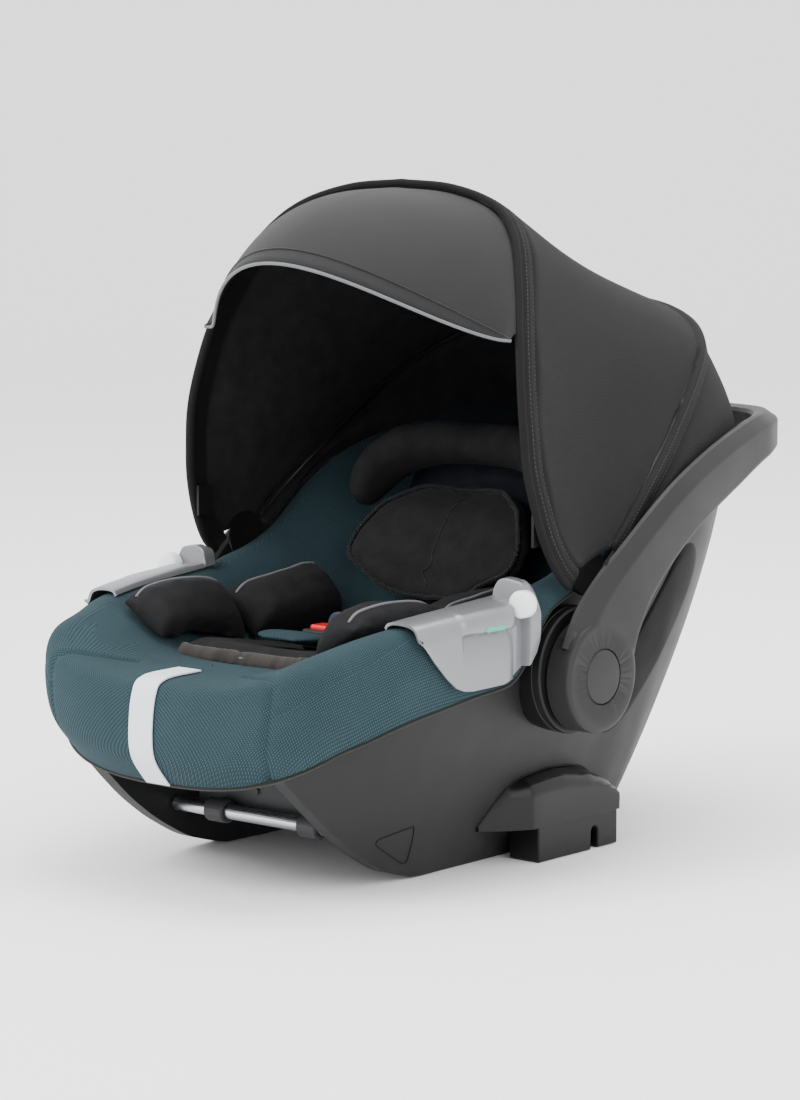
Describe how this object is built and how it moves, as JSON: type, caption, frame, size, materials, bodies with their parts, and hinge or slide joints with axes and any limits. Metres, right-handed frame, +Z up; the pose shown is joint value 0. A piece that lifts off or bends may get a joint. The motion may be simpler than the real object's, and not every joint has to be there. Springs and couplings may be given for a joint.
{
  "type": "infant car seat",
  "caption": "Rear-facing infant car seat: bucket shell with knit cover, newborn insert, open folding canopy with visor, and a carry handle swung back",
  "frame": {"origin": "on the ground plane under the middle of the bounding box", "axes": "+X to the seat's left side seen from the foot end, -Y the foot end, +Y the head end, +Z up"},
  "size_m": [0.434, 0.6827, 0.554],
  "materials": {
    "shell_plastic": "fine moulded texture",
    "foam": "expanded bead foam",
    "teal_knit": "two-tone spacer knit",
    "label_black": "plain printed film",
    "hub_black": "satin moulded",
    "block_black": "semi-gloss moulded",
    "latch_steel": "plated",
    "guide_silver": "satin painted",
    "mark_green": "moulded inlay",
    "white_plastic": "satin moulded",
    "tube_steel": "satin white-silver",
    "clamp_grey": "satin moulded",
    "bracket_grey": "powder coat",
    "handle_plastic": "fine moulded texture",
    "hoop_plastic": "satin moulded",
    "canopy_cloth": "tight woven polyester",
    "visor_cloth": "satin woven polyester",
    "insert_charcoal": "brushed jersey",
    "headrest_navy": "dark mesh",
    "buckle_black": "satin moulded",
    "button_red": "moulded",
    "webbing_navy": "woven webbing",
    "webbing_white": "woven webbing"
  },
  "bodies": {
    "seat": {"seat_shell": "shell_plastic", "foam_liner": "foam", "seat_cover": "teal_knit", "front_cushion": "teal_knit", "label_panel_L": "label_black", "label_panel_R": "label_black", "wall_cap_L": "shell_plastic", "wall_cap_R": "shell_plastic", "pivot_base_L": "hub_black", "pivot_base_R": "hub_black", "adapter_block_L": "block_black", "adapter_block_R": "block_black", "belt_guide_L": "guide_silver", "belt_guide_R": "guide_silver", "guide_mark_L": "mark_green", "guide_mark_R": "mark_green", "guide_disc_L": "white_plastic", "guide_disc_R": "white_plastic", "front_tube": "tube_steel", "tube_clamp_L": "clamp_grey", "tube_clamp_R": "clamp_grey", "tube_bracket": "bracket_grey", "bracket_rivet_1": "tube_steel", "bracket_rivet_2": "tube_steel", "canopy_rear_hoop": "hoop_plastic", "canopy_front_panel": "canopy_cloth", "canopy_rear_panel": "canopy_cloth", "reducer_base": "insert_charcoal", "leg_bolster_L": "insert_charcoal", "leg_bolster_R": "insert_charcoal", "hip_bolster_L": "insert_charcoal", "hip_bolster_R": "insert_charcoal", "body_pad": "insert_charcoal", "buckle_body": "buckle_black", "harness_tongue_L": "webbing_navy", "harness_tongue_R": "webbing_navy", "crotch_pad": "teal_knit", "adjuster_strap": "webbing_white"},
    "canopy": {"canopy_front_hoop": "hoop_plastic", "canopy_visor": "visor_cloth", "canopy_pivot_L": "hub_black", "canopy_pivot_R": "hub_black", "snap_tab_L": "hoop_plastic", "snap_tab_R": "hoop_plastic"},
    "handle": {"carry_handle": "handle_plastic"},
    "button_L": {"handle_button_L": "handle_plastic"},
    "button_R": {"handle_button_R": "handle_plastic"},
    "headrest": {"headrest_board": "headrest_navy", "head_bolster": "insert_charcoal"},
    "buckle_release": {"buckle_button": "button_red"},
    "base_release": {"release_lever": "block_black"},
    "latch_L": {"adapter_latch_L": "latch_steel"},
    "latch_R": {"adapter_latch_R": "latch_steel"}
  },
  "joints": [
    {"name": "handle_swing", "type": "hinge", "parent": "seat", "child": "handle", "pos_m": [0, -0.0325, 0.16], "axis": [1, 0, 0], "range_deg": [-45, 0]},
    {"name": "handle_press_L", "type": "slide", "parent": "handle", "child": "button_L", "axis": [1, 0, 0], "range_m": [0, 0.005], "stiffness_N_per_m": 600, "springref_m": -0.001},
    {"name": "handle_press_R", "type": "slide", "parent": "handle", "child": "button_R", "axis": [-1, 0, 0], "range_m": [0, 0.005], "stiffness_N_per_m": 600, "springref_m": -0.001},
    {"name": "canopy_fold", "type": "hinge", "parent": "seat", "child": "canopy", "pos_m": [0, -0.0185, 0.243], "axis": [1, 0, 0], "range_deg": [-45, 0], "deforming": ["canopy_front_panel"]},
    {"name": "headrest_slide", "type": "slide", "parent": "seat", "child": "headrest", "axis": [0, 0.5839, 0.8118], "range_m": [0, 0.045]},
    {"name": "buckle_press", "type": "slide", "parent": "seat", "child": "buckle_release", "axis": [0, 0, -1], "range_m": [0, 0.003], "stiffness_N_per_m": 900, "springref_m": -0.001},
    {"name": "base_release_lift", "type": "slide", "parent": "seat", "child": "base_release", "axis": [0, 0, 1], "range_m": [0, 0.01], "stiffness_N_per_m": 400, "springref_m": -0.002},
    {"name": "latch_L_slide", "type": "slide", "parent": "seat", "child": "latch_L", "axis": [0, 1, 0], "range_m": [0, 0.006]},
    {"name": "latch_R_slide", "type": "slide", "parent": "seat", "child": "latch_R", "axis": [0, 1, 0], "range_m": [0, 0.006]}
  ],
  "couplings": [
    {"joint": "latch_L_slide", "follows": "base_release_lift", "ratio": 0.6},
    {"joint": "latch_R_slide", "follows": "base_release_lift", "ratio": 0.6}
  ]
}
